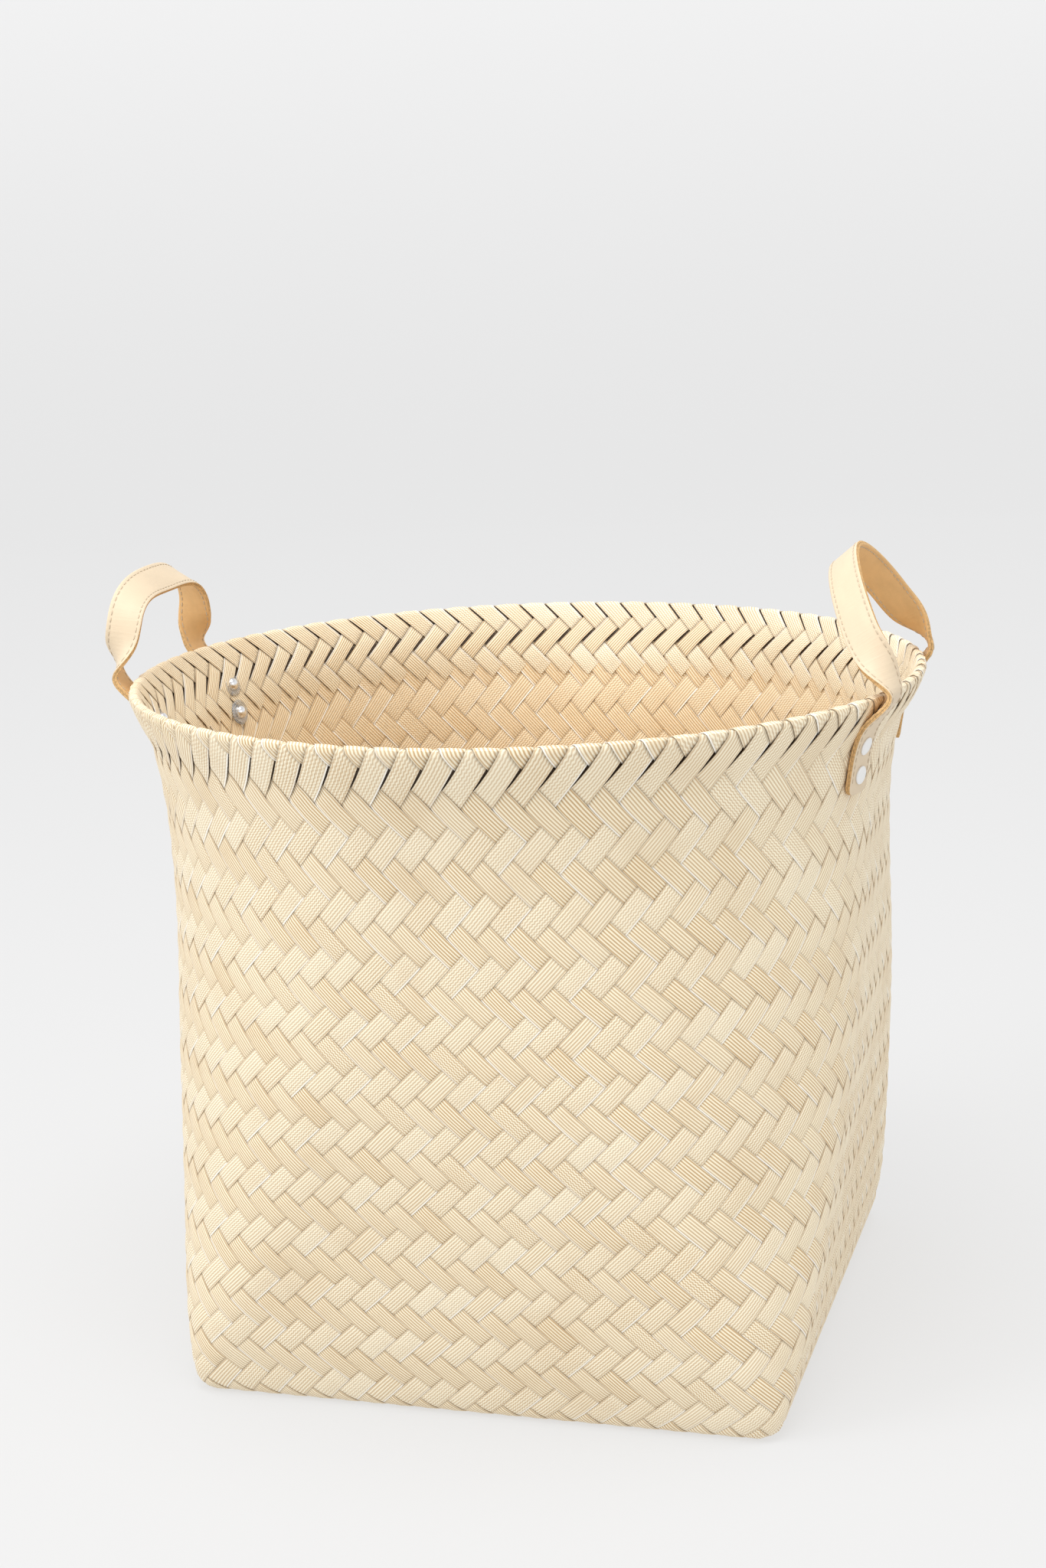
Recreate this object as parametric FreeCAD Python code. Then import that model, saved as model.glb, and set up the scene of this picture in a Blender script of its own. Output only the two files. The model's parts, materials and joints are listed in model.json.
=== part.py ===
"""Plaited storage basket: square base, round flared mouth, two riveted strap handles.

Millimetres, +Z up, origin at the centre of the base where it meets the floor.
The base is square to X and Y. The handles stand at the middles of the left (-X) and
right (+X) sides. Each handle is one strap of two layers: its ends lie flat on the
outside of the wall, held by rivets, and its loop flexes about a line over the rim.
"""
import FreeCAD, Part
import math
import os

Vector = FreeCAD.Vector

# Basket body
HEIGHT = 350.0
RIM_RADIUS = 205.0          # outermost radius of the mouth
MOUTH_SHIFT = -2.5          # the mouth stands a little to the left of the base
SHIFT_START = 200.0         # height at which the wall starts to lean that way
WALL_THICKNESS = 2.4
BASE_THICKNESS = 2.4
WALL_TOP = 338.0            # the wall stops here and the folded rim takes over
RIM_HALF_THICKNESS = 2.7
RIM_FOOT_RADIUS = 198.0     # middle of the fold where it meets the wall
LOFT_STEPS = 32
WALL_SIDES = ["right", "rear", "left", "front"]

# Outline of the wall: height, half width, corner radius
OUTLINE = [
    (0.0, 150.0, 10.0),
    (14.0, 154.5, 18.0),
    (42.0, 161.0, 42.0),
    (105.0, 169.5, 86.0),
    (175.0, 176.0, 122.0),
    (245.0, 179.0, 145.0),
    (290.0, 183.0, 160.5),
    (322.0, 191.0, 180.0),
    (338.0, 199.0, 196.0),
]

# Strap
STRAP_WIDTH = 18.0
LAYER_THICKNESS = 1.28
LAYER_GAP = 0.15
TAIL_BOTTOM = 302.0
TAIL_GAP = 0.5              # between the wall and the back of the strap
TAIL_TURN = 2.5             # degrees a strap end faces nearer to X than the wall under it
TAIL_HEIGHTS = [TAIL_BOTTOM, 309.0, 316.0, 323.0, 330.0]
HINGE_Z = 348.5
TAIL_TO_HINGE = 1.9
LOOP_SECTIONS = 25
TWIST_SHARE = 0.15          # share of the loop's length that turns the strap on edge

# Each handle as it stands at rest: where its ends lie, in degrees either side of the
# X axis, its hinge line out from the middle of the mouth, half the width of its loop, how high the loop rises, how square its shoulders
# are, how far it leans in over the basket, and how its top is turned
HANDLES = {
    "left": {"side": -1, "azimuth": 14.5, "hinge": 204.0, "spread": 50.0, "rise": 46.0,
             "power": 3.3, "lean": 0.0, "apex_twist": -45.0},
    "right": {"side": 1, "azimuth": 20.0, "hinge": 198.5, "spread": 66.0, "rise": 67.0,
              "power": 1.75, "lean": 28.0, "apex_twist": -12.0},
}

# Rivets: one pair on each strap end
RIVET_HEIGHTS = {"upper": 326.5, "lower": 311.5}
POST_RADIUS = 1.5
HOLE_RADIUS = 1.6
HEAD_RADIUS = 4.6
HEAD_THICKNESS = 1.6
HEAD_EDGE = 0.5
HEAD_GAP = 0.4              # the strap curves away under the flat head
WASHER_RADIUS = 7.0
WASHER_THICKNESS = 1.2
WASHER_GAP = 0.35
CAP_RADIUS = 3.6
CAP_HEIGHT = 2.7
CAP_BORE_DEPTH = 1.5

STRAP_THICKNESS = 2 * LAYER_THICKNESS + LAYER_GAP


def outline_at(z):
    """Half width and corner radius of the wall at a height, smooth through OUTLINE."""
    rows = OUTLINE
    k = 0
    while k < len(rows) - 2 and z > rows[k + 1][0]:
        k += 1
    z0, z1 = rows[k][0], rows[k + 1][0]
    t = (z - z0) / (z1 - z0)
    values = []
    for column in (1, 2):
        def slope(i):
            low = max(i - 1, 0)
            high = min(i + 1, len(rows) - 1)
            return (rows[high][column] - rows[low][column]) / (rows[high][0] - rows[low][0])
        start, end = rows[k][column], rows[k + 1][column]
        rise0 = slope(k) * (z1 - z0)
        rise1 = slope(k + 1) * (z1 - z0)
        values.append(start * (2 * t**3 - 3 * t**2 + 1) + rise0 * (t**3 - 2 * t**2 + t)
                      + end * (3 * t**2 - 2 * t**3) + rise1 * (t**3 - t**2))
    return values[0], values[1]


def mouth_drift(z):
    """How far the wall's middle line has moved along X at a height."""
    share = min(max((z - SHIFT_START) / (WALL_TOP - SHIFT_START), 0.0), 1.0)
    return MOUTH_SHIFT * share * share * (3 - 2 * share)


def rounded_square(half, radius, z):
    """Closed wire: a square of four lines and four corner arcs."""
    flat = half - radius
    drift = Vector(mouth_drift(z), 0, 0)
    edges = []
    for quarter in range(4):
        turn = FreeCAD.Rotation(Vector(0, 0, 1), 90 * quarter)
        start = turn.multVec(Vector(half, -flat, z))
        corner = turn.multVec(Vector(half, flat, z))
        diagonal = flat + radius * math.sqrt(0.5)
        middle = turn.multVec(Vector(diagonal, diagonal, z))
        end = turn.multVec(Vector(flat, half, z))
        edges.append(Part.makeLine(start, corner))
        edges.append(Part.Arc(corner, middle, end).toShape())
    return Part.Wire(edges).translated(drift)


def wall_loft(inset):
    """Solid of the basket's outline, moved inwards by inset."""
    wires = []
    for k in range(LOFT_STEPS + 1):
        z = BASE_THICKNESS + (WALL_TOP - BASE_THICKNESS) * k / LOFT_STEPS
        half, radius = outline_at(z)
        wires.append(rounded_square(half - inset, radius - inset, z))
    return Part.makeLoft(wires, True, False)


def wall_point(azimuth, z):
    """Point on the outside of the wall, at an angle from the X axis in degrees."""
    half, radius = outline_at(z)
    flat = half - radius
    along = Vector(math.cos(math.radians(azimuth)), math.sin(math.radians(azimuth)), 0)
    centre = Vector(flat, math.copysign(flat, azimuth), 0)
    reach = along.dot(centre)
    distance = reach + math.sqrt(reach**2 - centre.dot(centre) + radius**2)
    return Vector(along.x * distance, along.y * distance, z)


def wall_frame(handle, end, z):
    """Place and outward direction of the wall under a strap end; end is -1 or 1 in Y."""
    azimuth = end * handle["azimuth"]
    step = 1.0

    def place(height):
        drift = Vector(handle["side"] * mouth_drift(height), 0, 0)
        return wall_point(azimuth, height) + drift

    up = (place(min(z + step, WALL_TOP)) - place(z - step)).normalize()
    facing = math.radians(end * (handle["azimuth"] - TAIL_TURN))
    width = Vector(-math.sin(facing), math.cos(facing), 0)
    return place(z), width.cross(up).normalize(), width


def woven_base():
    """Flat square mat that the wall stands on."""
    half, radius = outline_at(0.0)
    face = Part.Face(rounded_square(half, radius, 0))
    return face.extrude(Vector(0, 0, BASE_THICKNESS))


def wall_sector(quarter):
    """Wedge over one side of the basket, from corner to corner; quarter 0 is +X."""
    reach = 2 * RIM_RADIUS
    corners = [Vector(0, 0, 0), Vector(reach, -reach, 0), Vector(reach, reach, 0)]
    wedge = Part.Face(Part.makePolygon(corners + corners[:1])).extrude(Vector(0, 0, HEIGHT))
    wedge.rotate(Vector(0, 0, 0), Vector(0, 0, 1), 90 * quarter)
    return wedge


def woven_walls(bores):
    """Square-to-round shell, open at the top, with the rivet holes, as its four sides."""
    shell = wall_loft(0.0).cut(wall_loft(WALL_THICKNESS)).cut(Part.makeCompound(bores))
    return {"woven_wall_" + side: shell.common(wall_sector(quarter)).Solids[0]
            for quarter, side in enumerate(WALL_SIDES)}


def rim_fold():
    """The strips folded over the top edge: a leaning bar with a round top, once round."""
    crown = Vector(RIM_RADIUS - RIM_HALF_THICKNESS, 0, HEIGHT - RIM_HALF_THICKNESS)
    foot = Vector(RIM_FOOT_RADIUS, 0, WALL_TOP)
    middle = Vector(MOUTH_SHIFT, 0, 0)
    along = (crown - foot).normalize()
    across = Vector(along.z, 0, -along.x) * RIM_HALF_THICKNESS
    foot_across = Vector(RIM_HALF_THICKNESS / along.z, 0, 0)
    outer = Part.makeLine(foot + foot_across, crown + across)
    top = Part.Arc(crown + across, crown + along * RIM_HALF_THICKNESS, crown - across)
    inner = Part.makeLine(crown - across, foot - foot_across)
    bottom = Part.makeLine(foot - foot_across, foot + foot_across)
    face = Part.Face(Part.Wire([outer, top.toShape(), inner, bottom]))
    return face.revolve(Vector(0, 0, 0), Vector(0, 0, 1), 360).translated(middle)


def placed(point, side):
    """A point of the right handle, turned half round the basket for the left one."""
    return Vector(side * point.x, side * point.y, point.z)


def strap_section(point, width, normal, inner, outer, side):
    """Rectangle across one strap layer, from inner to outer along the strap's normal."""
    half = width * (STRAP_WIDTH / 2)
    corners = [
        point - half + normal * inner,
        point + half + normal * inner,
        point + half + normal * outer,
        point - half + normal * outer,
    ]
    corners.append(corners[0])
    return Part.makePolygon([placed(corner, side) for corner in corners])


def layer_span(layer):
    """Inner and outer offset of a layer from the middle of the strap."""
    if layer == "face":
        return LAYER_GAP / 2, STRAP_THICKNESS / 2
    return -STRAP_THICKNESS / 2, -LAYER_GAP / 2


def loop_line(handle):
    """Evenly spaced middle points of the loop, from one end to the other."""
    fine = []
    count = 400
    for k in range(count + 1):
        angle = math.pi * k / count
        across = abs(math.cos(angle)) ** (2 / handle["power"])
        up = handle["rise"] * math.sin(angle) ** (2 / handle["power"])
        fine.append((math.copysign(across, -math.cos(angle)) * handle["spread"], up))
    lengths = [0.0]
    for before, after in zip(fine, fine[1:]):
        lengths.append(lengths[-1] + math.dist(before, after))
    points = []
    k = 0
    for n in range(LOOP_SECTIONS):
        target = lengths[-1] * n / (LOOP_SECTIONS - 1)
        while k < count - 1 and lengths[k + 1] < target:
            k += 1
        share = (target - lengths[k]) / (lengths[k + 1] - lengths[k])
        points.append([a + (b - a) * share for a, b in zip(fine[k], fine[k + 1])])
    return points


def strap_twist(share, apex_twist):
    """Turn of the strap about its own line: flat to the wall at the ends, on edge above."""
    near_end = min(share, 1 - share) / TWIST_SHARE
    ease = min(near_end, 1.0)
    ease = ease * ease * (3 - 2 * ease)
    return 90 * (1 - ease) + apex_twist * math.sin(math.pi * share) ** 2


def handle_loop(handle, layer):
    """One layer of a handle's loop, from hinge line to hinge line."""
    lean = math.radians(handle["lean"])
    up = Vector(-math.sin(lean), 0, math.cos(lean))
    out = Vector(math.cos(lean), 0, math.sin(lean))
    hinge = Vector(handle["hinge"] + handle["side"] * MOUTH_SHIFT, 0, HINGE_Z)
    points = [hinge + Vector(0, y, 0) + up * q for y, q in loop_line(handle)]
    inner, outer = layer_span(layer)
    wires = []
    last = len(points) - 1
    for k, point in enumerate(points):
        tangent = (points[min(k + 1, last)] - points[max(k - 1, 0)]).normalize()
        if k in (0, last):
            tangent = up if k == 0 else up * -1
        away = out.cross(tangent).normalize()
        twist = math.radians(strap_twist(k / last, handle["apex_twist"]))
        width = out * math.cos(twist) - away * math.sin(twist)
        normal = width.cross(tangent).normalize()
        wires.append(strap_section(point, width, normal, inner, outer, handle["side"]))
    return Part.makeLoft(wires, True, False)


def strap_tail(handle, end, layer, bores):
    """One layer of a strap end, flat on the outside of the wall, up to the hinge line."""
    inner, outer = layer_span(layer)
    stand_off = TAIL_GAP + STRAP_THICKNESS / 2
    wires = []
    for z in TAIL_HEIGHTS:
        point, normal, width = wall_frame(handle, end, z)
        wires.append(strap_section(point + normal * stand_off, width, normal,
                                   inner, outer, handle["side"]))
    hinge = Vector(handle["hinge"] + handle["side"] * MOUTH_SHIFT, end * handle["spread"], HINGE_Z)
    last = point + normal * stand_off
    along = (hinge - last).normalize()
    facing = math.radians(end * (handle["azimuth"] - TAIL_TURN) * 0.35)
    width = Vector(-math.sin(facing), math.cos(facing), 0)
    normal = width.cross(along).normalize()
    wires.append(strap_section(hinge - along * TAIL_TO_HINGE, width, normal,
                               inner, outer, handle["side"]))
    return Part.makeLoft(wires, True, False).cut(Part.makeCompound(bores))


def turned(profile, point, axis):
    """Solid of revolution: profile is (radius, height) points, height along axis."""
    corners = [Vector(r, 0, h) for r, h in profile]
    corners.append(corners[0])
    solid = Part.Face(Part.makePolygon(corners)).revolve(Vector(), Vector(0, 0, 1), 360)
    turn = FreeCAD.Rotation(Vector(0, 0, 1), axis)
    solid.Placement = FreeCAD.Placement(point, turn)
    return solid


def rivet(point, axis):
    """Flat head on the outside and a post through strap, wall and washer."""
    seat = TAIL_GAP + STRAP_THICKNESS + HEAD_GAP
    tip = -(WALL_THICKNESS + WASHER_GAP + WASHER_THICKNESS + CAP_BORE_DEPTH)
    top = seat + HEAD_THICKNESS
    return turned([(0, tip), (POST_RADIUS, tip), (POST_RADIUS, seat), (HEAD_RADIUS, seat),
                   (HEAD_RADIUS, top - HEAD_EDGE), (HEAD_RADIUS - HEAD_EDGE, top), (0, top)],
                  point, axis)


def washer(point, axis):
    """Flat ring against the inside of the wall."""
    top = -(WALL_THICKNESS + WASHER_GAP)
    bottom = top - WASHER_THICKNESS
    return turned([(HOLE_RADIUS, bottom), (WASHER_RADIUS, bottom), (WASHER_RADIUS, top),
                   (HOLE_RADIUS, top)], point, axis)


def cap(point, axis):
    """Domed cap on the tip of the post, inside the basket."""
    seat = -(WALL_THICKNESS + WASHER_GAP + WASHER_THICKNESS)
    dome = []
    steps = 8
    for k in range(steps + 1):
        angle = math.pi / 2 * k / steps
        dome.append((CAP_RADIUS * math.sin(angle), seat - CAP_HEIGHT * math.cos(angle)))
    bore_end = seat - CAP_BORE_DEPTH
    return turned(dome + [(HOLE_RADIUS, seat), (HOLE_RADIUS, bore_end), (0, bore_end)],
                  point, axis)


def rivet_bore(point, axis):
    """Clearance hole through strap and wall."""
    length = 30.0
    return Part.makeCylinder(HOLE_RADIUS, length, point - axis * (length / 2), axis)


def rivet_places(handle, end):
    """Name, point and axis of each rivet of one strap end."""
    places = []
    for level, z in RIVET_HEIGHTS.items():
        point, normal, width = wall_frame(handle, end, z)
        places.append((level, placed(point, handle["side"]), placed(normal, handle["side"])))
    return places


def end_name(handle, end):
    """Strap ends are named by where they stand: front is -Y."""
    return "front" if handle["side"] * end < 0 else "rear"


def build():
    """All sub-parts by node name."""
    parts = {"woven_base": woven_base(), "rim_fold": rim_fold()}
    all_bores = []
    for name, handle in HANDLES.items():
        for layer in ("face", "lining"):
            parts[name + "_loop_" + layer] = handle_loop(handle, layer)
        for end in (-1, 1):
            places = rivet_places(handle, end)
            bores = [rivet_bore(point, axis) for level, point, axis in places]
            all_bores += bores
            prefix = name + "_" + end_name(handle, end) + "_"
            for layer in ("face", "lining"):
                parts[prefix + "tail_" + layer] = strap_tail(handle, end, layer, bores)
            for level, point, axis in places:
                parts[prefix + level + "_rivet"] = rivet(point, axis)
                parts[prefix + level + "_washer"] = washer(point, axis)
                parts[prefix + level + "_cap"] = cap(point, axis)
    parts.update(woven_walls(all_bores))
    return parts


os.makedirs("parts", exist_ok=True)
for node, shape in build().items():
    if not shape.isValid() or len(shape.Solids) != 1:
        raise ValueError(node + " is not one valid solid")
    shape.exportStep("parts/" + node + ".step")
    print(node, round(shape.Volume / 1000, 2), "cm3")
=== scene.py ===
"""Plaited strip basket with two riveted strap handles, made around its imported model.

Metres, +Z up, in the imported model's frame. The basket is a twill of flat ribbed strips
laid on the bias: every strip comes down one wall, crosses the base round a corner and
climbs the next wall, then folds over the rim and is tucked down inside.
"""
import json
import math

import bpy
import numpy as np
from bpy.props import FloatProperty, FloatVectorProperty, IntProperty, PointerProperty
from mathutils import Matrix, Vector


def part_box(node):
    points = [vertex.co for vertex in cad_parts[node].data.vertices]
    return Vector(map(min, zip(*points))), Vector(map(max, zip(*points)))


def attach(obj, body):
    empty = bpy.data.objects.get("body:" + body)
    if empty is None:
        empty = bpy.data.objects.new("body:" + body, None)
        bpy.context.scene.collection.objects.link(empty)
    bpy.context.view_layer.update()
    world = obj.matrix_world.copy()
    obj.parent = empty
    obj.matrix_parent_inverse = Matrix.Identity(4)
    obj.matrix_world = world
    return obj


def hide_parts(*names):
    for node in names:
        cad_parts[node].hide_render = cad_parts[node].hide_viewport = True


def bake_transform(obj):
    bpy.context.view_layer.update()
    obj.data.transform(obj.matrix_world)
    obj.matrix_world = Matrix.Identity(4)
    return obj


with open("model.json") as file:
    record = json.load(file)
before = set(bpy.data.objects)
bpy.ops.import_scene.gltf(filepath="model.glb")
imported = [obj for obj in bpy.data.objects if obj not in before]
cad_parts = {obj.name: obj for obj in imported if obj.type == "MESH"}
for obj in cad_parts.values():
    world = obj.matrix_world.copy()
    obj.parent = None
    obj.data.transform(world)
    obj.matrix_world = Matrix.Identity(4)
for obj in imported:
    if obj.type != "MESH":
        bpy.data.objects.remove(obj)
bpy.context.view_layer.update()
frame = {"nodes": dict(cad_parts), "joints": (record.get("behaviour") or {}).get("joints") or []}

bl_info = {
    "name": "Plaited basket maker",
    "version": (1, 0, 0),
    "blender": (4, 5, 0),
    "location": "View3D > Sidebar > Basket",
    "description": "Weaves a bias twill basket and makes its strap handles, rivets and stage",
    "category": "Object",
}

BASE_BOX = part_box("woven_base")
RIM_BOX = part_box("rim_fold")
MM = 0.001
BODY_NODES = [node for node in frame["nodes"] if node.startswith("woven_")] + ["rim_fold"]
INSIDE_ROW = 0.0158                 # spacing of the folded rows down the inside
# Point values of each strip: its tone (random, and paler for one strip direction as painted light),
# its crinkle, a painted edge highlight, the painted shade where it passes under a crossing strip,
# and its inner face, which is painted with warm shade.
STRIP_VALUES = ["tone", "crinkle", "edge_highlight", "recess_shade", "inside"]

# Outline of the wall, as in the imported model: height, half width, corner radius
OUTLINE = [
    (0.0, 0.150, 0.010),
    (0.014, 0.1545, 0.018),
    (0.042, 0.161, 0.042),
    (0.105, 0.1695, 0.086),
    (0.175, 0.176, 0.122),
    (0.245, 0.179, 0.145),
    (0.290, 0.183, 0.1605),
    (0.322, 0.191, 0.180),
    (0.338, 0.199, 0.196),
]
RIM_HALF_THICKNESS = 0.0027
RIM_FOOT = (0.198, 0.338)           # radius and height of the middle of the fold's foot
RIM_RADIUS = (RIM_BOX[1][0] - RIM_BOX[0][0]) / 2
MOUTH_SHIFT = (RIM_BOX[1][0] + RIM_BOX[0][0]) / 2
SHIFT_START = 0.200                 # the wall leans over to the mouth's middle above this
HEIGHT = RIM_BOX[1][2]
WALL_THICKNESS = 0.0024
ROLL_START = 0.320                  # the weave leaves the wall's outline for the roll here

# Straps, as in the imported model
STRAP_THICKNESS = 0.00271
TAIL_GAP = 0.0005
TAIL_TURN = 2.5                     # degrees that a tail is turned out of its own azimuth
TAIL_HEIGHTS = [0.302, 0.309, 0.316, 0.323, 0.330, 0.3375]
GLUE_GAP = 0.00007                  # from the middle of the strap to each layer
HINGES = {joint["child"]: joint["pos_m"] for joint in frame["joints"]}
TWIST_SHARE = 0.15                  # share of the loop in which the strap turns on edge
STRAP_BULGE = 0.0042                # how far a strap stands out where it turns up over the rim
HANDLES = {
    "left": {"side": -1, "azimuth": 14.5, "spread": 0.050, "rise": 0.046, "power": 3.3,
             "lean": 0.0, "apex_twist": -45.0, "hinge": HINGES["left_handle"]},
    "right": {"side": 1, "azimuth": 20.0, "spread": 0.066, "rise": 0.067, "power": 1.75,
              "lean": 28.0, "apex_twist": -12.0, "hinge": HINGES["right_handle"]},
}

# Rivets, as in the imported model
RIVET_HEIGHTS = {"upper": 0.3265, "lower": 0.3115}
HEAD_SINK = 0.0004                  # how far a head presses into the strap
WASHER_GAP = 0.00035
WASHER_THICKNESS = 0.0012


# ---------------------------------------------------------------- settings

class BasketSettings(bpy.types.PropertyGroup):
    """Sizes and colours of the woven body."""

    strips_per_side: IntProperty(
        name="Strips per side", default=21, min=5,
        description="Strips of each direction that reach one side of the base")
    gap: FloatProperty(
        name="Gap", default=0.012, description="Gap between strips, as a share of their spacing")
    rim_gap: FloatProperty(
        name="Rim gap", default=0.085, description="How much wider the gaps are at the rim")
    strip_thickness: FloatProperty(
        name="Strip thickness", default=0.0006, unit="LENGTH",
        description="Thickness of one flat strip")
    wave: FloatProperty(
        name="Wave", default=0.00050, unit="LENGTH",
        description="How far a strip rises and sinks as it passes over and under others")
    crown: FloatProperty(
        name="Crown", default=0.0004, unit="LENGTH",
        description="How much higher the middle of a strip stands than its edges")
    depth: FloatProperty(
        name="Depth", default=0.0009, unit="LENGTH",
        description="Middle of the weave below the outline of the wall")
    rim_row: FloatProperty(
        name="Rim row", default=23.43,
        description="Strip spacings from the base edge up to the crest of the rim")
    tuck_row: FloatProperty(
        name="Tuck row", default=26.0,
        description="Strip spacings at which the folded ends stop, down the inside")
    cream: FloatVectorProperty(
        name="Cream", default=(0.98, 0.88, 0.66), subtype="COLOR", size=3, min=0, max=1,
        description="Colour of the ribs")
    tan: FloatVectorProperty(
        name="Tan", default=(0.60, 0.405, 0.205), subtype="COLOR", size=3, min=0, max=1,
        description="Colour of the grooves between the ribs")


class StrapSettings(bpy.types.PropertyGroup):
    """Sizes and colours of the straps, their thread and their rivets."""

    width: FloatProperty(
        name="Strap width", default=0.018, unit="LENGTH", description="Width of the strap")
    layer_thickness: FloatProperty(
        name="Layer thickness", default=0.00128, unit="LENGTH",
        description="Thickness of the face layer, and of the lining")
    stitch_inset: FloatProperty(
        name="Stitch inset", default=0.0019, unit="LENGTH",
        description="Line of stitches in from each edge")
    stitch_step: FloatProperty(
        name="Stitch step", default=0.0036, unit="LENGTH",
        description="From the middle of one stitch to the next")
    face: FloatVectorProperty(
        name="Face", default=(0.71, 0.58, 0.415), subtype="COLOR", size=3, min=0, max=1,
        description="Colour of the outer layer")
    lining: FloatVectorProperty(
        name="Lining", default=(0.78, 0.49, 0.22), subtype="COLOR", size=3, min=0, max=1,
        description="Colour of the inner layer")
    thread: FloatVectorProperty(
        name="Thread", default=(0.74, 0.61, 0.44), subtype="COLOR", size=3, min=0, max=1,
        description="Colour of the stitches")


class StageSettings(bpy.types.PropertyGroup):
    """The floor, the lights and the camera."""

    reach: FloatProperty(
        name="Floor reach", default=3.2, unit="LENGTH",
        description="From the basket to the foot of the backdrop")
    tone: FloatVectorProperty(
        name="Floor tone", default=(0.88, 0.88, 0.885), subtype="COLOR", size=3, min=0, max=1,
        description="Colour of the floor and the backdrop")
    eye: FloatVectorProperty(
        name="Eye", default=(0.3775, -1.2931, 0.5961), subtype="TRANSLATION", size=3,
        description="Where the camera stands")
    lens: FloatProperty(
        name="Lens", default=60.62, description="Focal length in millimetres")
    glow: FloatProperty(
        name="Floor glow", default=0.62,
        description="Light that the floor and the backdrop give, like a light table")
    surround: FloatProperty(
        name="Surround", default=0.76, description="Strength of the even light from all round")


# ---------------------------------------------------------------- materials

class Wire:
    """One output of a node. Python arithmetic on it adds Math nodes."""

    def __init__(self, finish, socket):
        self.finish = finish
        self.socket = socket

    def maths(self, operation, *values):
        inputs = dict(enumerate(values))
        return self.finish.node("ShaderNodeMath", {"operation": operation}, inputs)

    def __add__(self, other):
        return self.maths("ADD", self, other)

    def __sub__(self, other):
        return self.maths("SUBTRACT", self, other)

    def __rsub__(self, other):
        return self.maths("SUBTRACT", other, self)

    def __mul__(self, other):
        return self.maths("MULTIPLY", self, other)

    __radd__ = __add__
    __rmul__ = __mul__

    def cosine(self):
        return self.maths("COSINE", self)

    def absolute(self):
        return self.maths("ABSOLUTE", self)

    def ramp(self, low, high):
        """0 at low, 1 at high and held outside them."""
        inputs = {0: self, 1: low, 2: high}
        return self.finish.node("ShaderNodeMapRange", {"interpolation_type": "SMOOTHSTEP"},
                                inputs)


class Finish:
    """A material being made: one method adds a node, sets it and joins it."""

    def __init__(self, name, **constants):
        self.material = bpy.data.materials.new(name)
        self.material.use_nodes = True
        self.tree = self.material.node_tree
        self.shader = self.tree.nodes["Principled BSDF"]
        for socket, value in constants.items():
            label = socket.replace("_", " ").title().replace("Ior", "IOR")
            self.shader.inputs[label].default_value = value

    def node(self, kind, settings=None, inputs=None, output=0):
        made = self.tree.nodes.new(kind)
        for key, value in (settings or {}).items():
            setattr(made, key, value)
        for key, value in (inputs or {}).items():
            self.join(value, made.inputs[key])
        return Wire(self, made.outputs[output])

    def join(self, value, socket):
        if isinstance(value, Wire):
            self.tree.links.new(value.socket, socket)
        else:
            socket.default_value = value

    def blend(self, share, first, second):
        """A colour between two others."""
        colours = [c if isinstance(c, Wire) else (*c, 1.0) for c in (first, second)]
        return self.node("ShaderNodeMix", {"data_type": "RGBA"},
                         {0: share, 6: colours[0], 7: colours[1]}, output=2)

    def noise(self, vector, scale, detail=2.0):
        return self.node("ShaderNodeTexNoise", {},
                         {"Vector": vector, "Scale": scale, "Detail": detail})

    def stretched(self, vector, scale):
        """The same coordinates, drawn out along some axes."""
        return self.node("ShaderNodeMapping", {}, {"Vector": vector, "Scale": scale})

    def place(self):
        return self.node("ShaderNodeTexCoord", {}, {}, output="Object")

    def across_and_along(self, uv):
        """The two numbers of a UV map, apart."""
        across = self.node("ShaderNodeSeparateXYZ", {}, {0: uv})
        return across, Wire(self, across.socket.node.outputs[1])

    def value(self, name):
        """A number stored on the piece's points."""
        return self.node("ShaderNodeAttribute", {"attribute_name": name}, {}, output="Fac")

    def finished(self, colour=None, roughness=None, height=None, bump=0.0, strength=1.0):
        """Joins what varies to the shader and returns the material."""
        if colour is not None:
            self.join(colour, self.shader.inputs["Base Color"])
        if roughness is not None:
            self.join(roughness, self.shader.inputs["Roughness"])
        if height is not None:
            normal = self.node("ShaderNodeBump", {},
                               {"Strength": strength, "Distance": bump, "Height": height})
            self.join(normal, self.shader.inputs["Normal"])
        return self.material


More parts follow.
